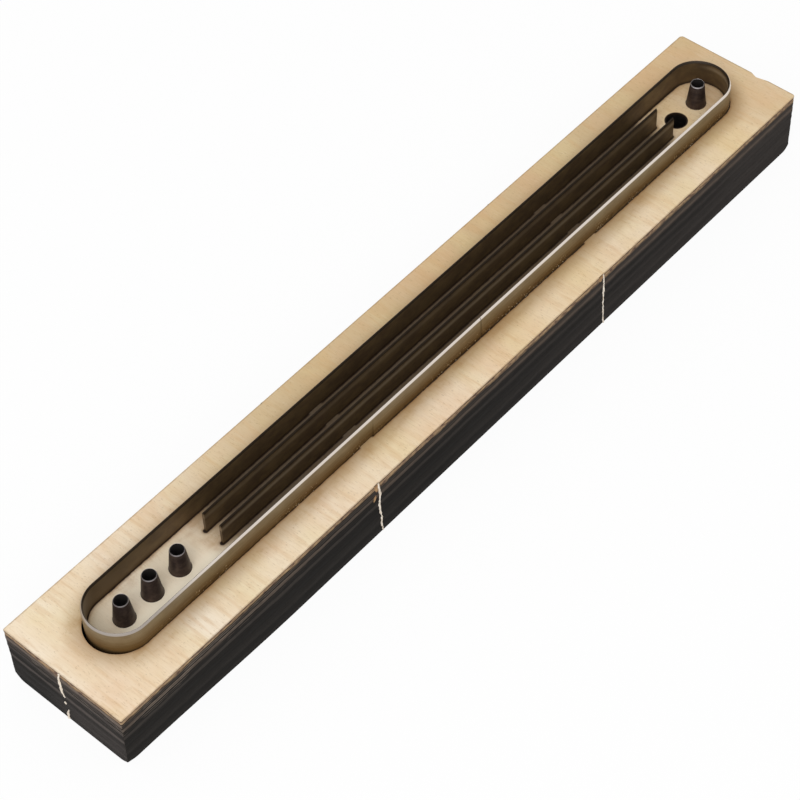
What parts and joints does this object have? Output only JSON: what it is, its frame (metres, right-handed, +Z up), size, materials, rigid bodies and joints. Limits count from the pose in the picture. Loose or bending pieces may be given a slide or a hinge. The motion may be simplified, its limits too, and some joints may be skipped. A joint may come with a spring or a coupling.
{
  "type": "leather cutting die",
  "caption": "Steel-rule cutting die for a three-strand leather strap: plywood board, bent outline rule, straight slitting rules and hollow hole punches.",
  "frame": {"origin": "middle of the die board's underside", "axes": "+X along the strap, towards the single hole punch; +Y across the strap, away from the rule's butt joint; +Z up, towards the cutting edges"},
  "size_m": [0.2328, 0.0354, 0.0238],
  "materials": {
    "plywood": "raw birch plywood with laser-burnt edges",
    "rule_steel": "tempered strip steel with a bronze scale and ground bevels",
    "punch_steel": "oil-blackened turned steel with a ground lip"
  },
  "bodies": {
    "root": {"die_board": "plywood", "outline_rule": "rule_steel", "slitting_rule_near": "rule_steel", "slitting_rule_far": "rule_steel", "hole_punch_1": "punch_steel", "hole_punch_2": "punch_steel", "hole_punch_3": "punch_steel", "hole_punch_4": "punch_steel"}
  },
  "joints": []
}
